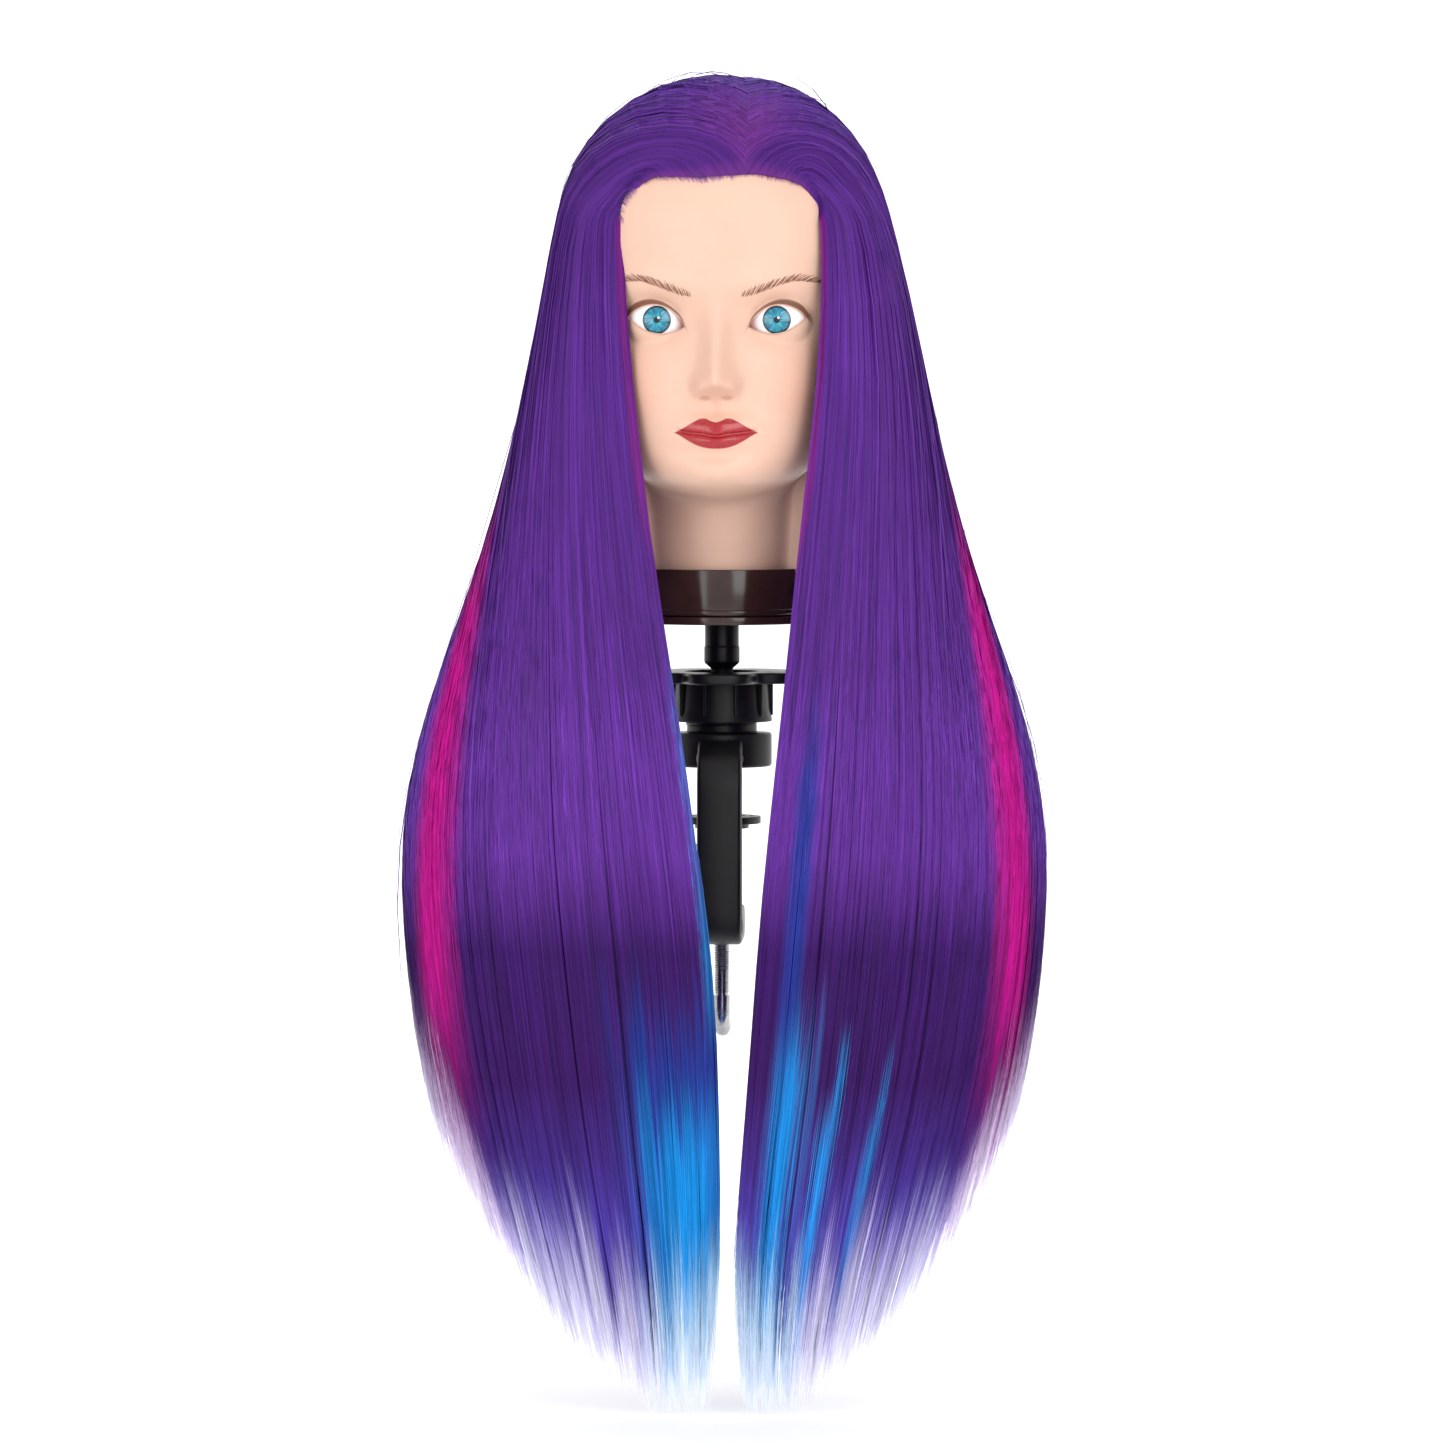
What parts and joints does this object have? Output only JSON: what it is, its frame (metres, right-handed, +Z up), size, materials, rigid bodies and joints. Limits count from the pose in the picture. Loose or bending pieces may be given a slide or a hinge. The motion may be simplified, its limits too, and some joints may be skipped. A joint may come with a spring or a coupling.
{
  "type": "mannequin training head",
  "caption": "Hairdressing mannequin head with long straight implanted hair, on a screw-down table clamp with a ball post and star nut.",
  "frame": {"origin": "on the clamp screw's axis, at the centre of the upper jaw's flat underside, which rests on the table", "axes": "+Z up along the post, -Y the way the face looks, +X to the head's own left"},
  "size_m": [0.3226, 0.2146, 0.664],
  "materials": {
    "black_plastic": "satin black moulded plastic",
    "zinc_steel": "bright zinc plate",
    "vinyl_skin": "satin peach vinyl",
    "brown_plastic": "glossy dark brown",
    "grey_plastic": "plain grey plastic",
    "eye_acrylic": "clear glossy dome with a painted iris",
    "purple_hair": "straight purple synthetic hair",
    "magenta_hair": "straight purple hair with magenta streaks",
    "blue_hair": "straight purple hair with blue streaks"
  },
  "bodies": {
    "clamp_frame": {"clamp_frame": "black_plastic", "captive_nut": "zinc_steel"},
    "pressure_pad": {"pressure_pad": "black_plastic"},
    "clamp_screw": {"clamp_screw": "zinc_steel"},
    "friction_ring": {"friction_ring": "grey_plastic"},
    "star_nut": {"star_nut": "black_plastic"},
    "swivel_cup": {"swivel_cup": "grey_plastic"},
    "post": {"ball_post": "black_plastic", "fluted_sleeve": "black_plastic"},
    "head": {"head_shell": "vinyl_skin", "eye_right": "eye_acrylic", "eye_left": "eye_acrylic", "collar_ring": "brown_plastic", "base_plate": "brown_plastic", "socket_tube": "grey_plastic", "hair_crown": "purple_hair", "hair_back": "purple_hair", "hair_side_right": "purple_hair", "hair_side_left": "purple_hair", "hair_nape_right": "purple_hair", "hair_nape_left": "purple_hair"},
    "hair_right": {"hair_inner_right": "blue_hair", "hair_front_right": "purple_hair", "hair_outer_right": "magenta_hair"},
    "hair_left": {"hair_inner_left": "blue_hair", "hair_front_left": "purple_hair", "hair_outer_left": "magenta_hair"}
  },
  "joints": [
    {"name": "pad_slide", "type": "slide", "parent": "clamp_frame", "child": "pressure_pad", "axis": [0, 0, 1], "range_m": [-0.028, 0.0245]},
    {"name": "screw_turn", "type": "hinge", "parent": "pressure_pad", "child": "clamp_screw", "pos_m": [0, 0, -0.06], "axis": [0, 0, 1], "range_deg": [-8100, 7100]},
    {"name": "nut_lift", "type": "slide", "parent": "clamp_frame", "child": "friction_ring", "axis": [0, 0, 1], "range_m": [0, 0.002]},
    {"name": "nut_turn", "type": "hinge", "parent": "friction_ring", "child": "star_nut", "pos_m": [0, 0, 0.035], "axis": [0, 0, 1], "range_deg": [0, 185]},
    {"name": "post_swivel", "type": "hinge", "parent": "clamp_frame", "child": "swivel_cup", "pos_m": [0, 0, 0.027], "axis": [0, 0, 1], "continuous": true},
    {"name": "post_tilt", "type": "hinge", "parent": "swivel_cup", "child": "post", "pos_m": [0, 0, 0.027], "axis": [1, 0, 0], "range_deg": [0, 20]},
    {"name": "head_lift", "type": "slide", "parent": "post", "child": "head", "axis": [0, 0, 1], "range_m": [0, 0.48]},
    {"name": "hair_hang_right", "type": "hinge", "parent": "head", "child": "hair_right", "pos_m": [0, -0.089, 0.13], "axis": [1, 0, 0], "range_deg": [-20, 0]},
    {"name": "hair_hang_left", "type": "hinge", "parent": "head", "child": "hair_left", "pos_m": [0, -0.089, 0.13], "axis": [1, 0, 0], "range_deg": [-20, 0]}
  ],
  "couplings": [
    {"joint": "screw_turn", "follows": "pad_slide", "rad_per_m": 5026.5},
    {"joint": "nut_turn", "follows": "nut_lift", "rad_per_m": 1570.8},
    {"joint": "hair_hang_right", "follows": "post_tilt", "ratio": -1},
    {"joint": "hair_hang_left", "follows": "post_tilt", "ratio": -1}
  ]
}
